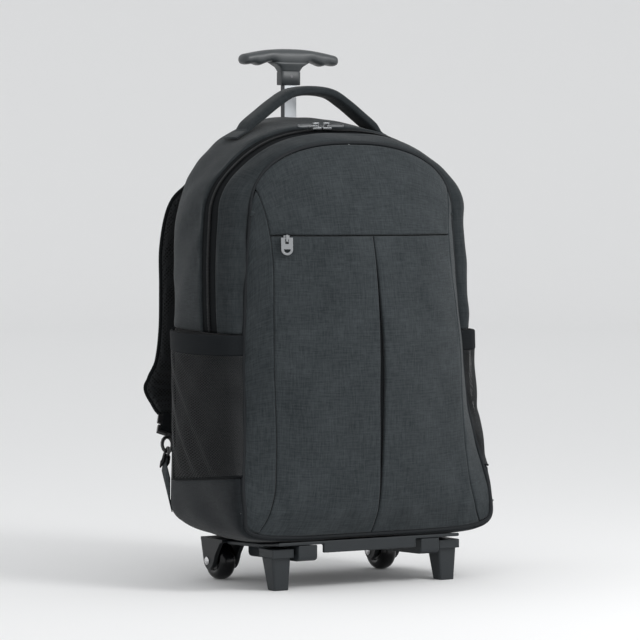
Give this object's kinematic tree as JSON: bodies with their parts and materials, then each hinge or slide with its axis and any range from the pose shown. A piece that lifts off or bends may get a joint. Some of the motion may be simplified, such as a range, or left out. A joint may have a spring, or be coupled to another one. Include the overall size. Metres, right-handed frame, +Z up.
{
  "type": "wheeled backpack",
  "caption": "Soft wheeled backpack with a curved front pocket, mesh side pockets, shoulder straps, base wheels and a telescopic pull handle.",
  "frame": {"origin": "bottom centre of the whole bag, on the floor it stands on", "axes": "+Z up along the pull handle, -Y out of the front of the bag, +X to the right as seen from the front"},
  "size_m": [0.3332, 0.2676, 0.551],
  "materials": {
    "grey_cloth": "matte woven melange cloth",
    "black_webbing": "matte woven tape",
    "black_padding": "padded air mesh",
    "black_mesh": "open knitted mesh",
    "dark_plastic": "satin moulded",
    "black_plastic": "semi gloss moulded",
    "wheel_black": "smooth, slightly glossy",
    "pole_metal": "satin anodised",
    "zip_metal": "gunmetal, polished edges",
    "axle_metal": "polished"
  },
  "bodies": {
    "bag": {"back_panel": "black_padding", "front_gusset": "grey_cloth", "main_zip_tape": "black_webbing", "rear_gusset": "grey_cloth", "side_panel_left": "grey_cloth", "side_panel_right": "grey_cloth", "bottom_panel": "grey_cloth", "mesh_pocket_left": "black_mesh", "mesh_pocket_right": "black_mesh", "pocket_band_left": "black_webbing", "pocket_band_right": "black_webbing", "front_piping": "black_webbing", "front_upper_panel": "grey_cloth", "front_pocket_left": "grey_cloth", "front_pocket_right": "grey_cloth", "side_strip_left": "grey_cloth", "side_strip_right": "grey_cloth", "front_zip_tape": "black_webbing", "pleat_backing": "black_webbing", "pole_outer": "pole_metal", "carry_handle": "grey_cloth", "shoulder_strap_left": "black_padding", "shoulder_strap_right": "black_padding", "d_ring_left": "black_plastic", "d_ring_right": "black_plastic", "snap_hook_left": "black_plastic", "snap_hook_right": "black_plastic", "lower_webbing_left": "black_webbing", "lower_webbing_right": "black_webbing", "ladder_lock_left": "black_plastic", "ladder_lock_right": "black_plastic", "anchor_tab_left": "black_webbing", "anchor_tab_right": "black_webbing", "anchor_wing_left": "grey_cloth", "anchor_wing_right": "grey_cloth", "wheel_housing_left": "dark_plastic", "wheel_housing_right": "dark_plastic", "axle_left": "axle_metal", "axle_right": "axle_metal", "base_plate": "dark_plastic", "runner_left": "dark_plastic", "runner_right": "dark_plastic", "foot_left": "dark_plastic", "foot_right": "dark_plastic", "main_left_slider": "zip_metal", "main_right_slider": "zip_metal", "front_slider": "zip_metal"},
    "pole_middle": {"pole_middle": "pole_metal"},
    "pole_inner": {"pole_inner": "pole_metal", "grip": "dark_plastic", "grip_screw": "zip_metal"},
    "wheel_left": {"wheel_tyre_left": "wheel_black", "wheel_hub_left": "black_plastic"},
    "wheel_right": {"wheel_tyre_right": "wheel_black", "wheel_hub_right": "black_plastic"},
    "main_left_pull": {"main_left_pull": "zip_metal"},
    "main_right_pull": {"main_right_pull": "zip_metal"},
    "front_pull": {"front_pull": "zip_metal"}
  },
  "joints": [
    {"name": "pole_middle_slide", "type": "slide", "parent": "bag", "child": "pole_middle", "axis": [0, 0, 1], "range_m": [0, 0.23]},
    {"name": "pole_inner_slide", "type": "slide", "parent": "pole_middle", "child": "pole_inner", "axis": [0, 0, 1], "range_m": [0, 0.23]},
    {"name": "wheel_left_spin", "type": "hinge", "parent": "bag", "child": "wheel_left", "pos_m": [-0.098, 0.02791, 0.0196], "axis": [1, 0, 0], "continuous": true},
    {"name": "wheel_right_spin", "type": "hinge", "parent": "bag", "child": "wheel_right", "pos_m": [0.098, 0.02791, 0.0196], "axis": [1, 0, 0], "continuous": true},
    {"name": "main_left_pull_swing", "type": "hinge", "parent": "bag", "child": "main_left_pull", "pos_m": [-0.02419, -0.04117, 0.46914], "axis": [0, 0.9678, 0.2518], "range_deg": [0, 100]},
    {"name": "main_right_pull_swing", "type": "hinge", "parent": "bag", "child": "main_right_pull", "pos_m": [-0.01199, -0.04117, 0.46939], "axis": [0, -0.9677, -0.2521], "range_deg": [0, 100]},
    {"name": "front_pull_swing", "type": "hinge", "parent": "bag", "child": "front_pull", "pos_m": [-0.0941, -0.10157, 0.35393], "axis": [-0.922, 0.3873, 0], "range_deg": [0, 120]}
  ]
}
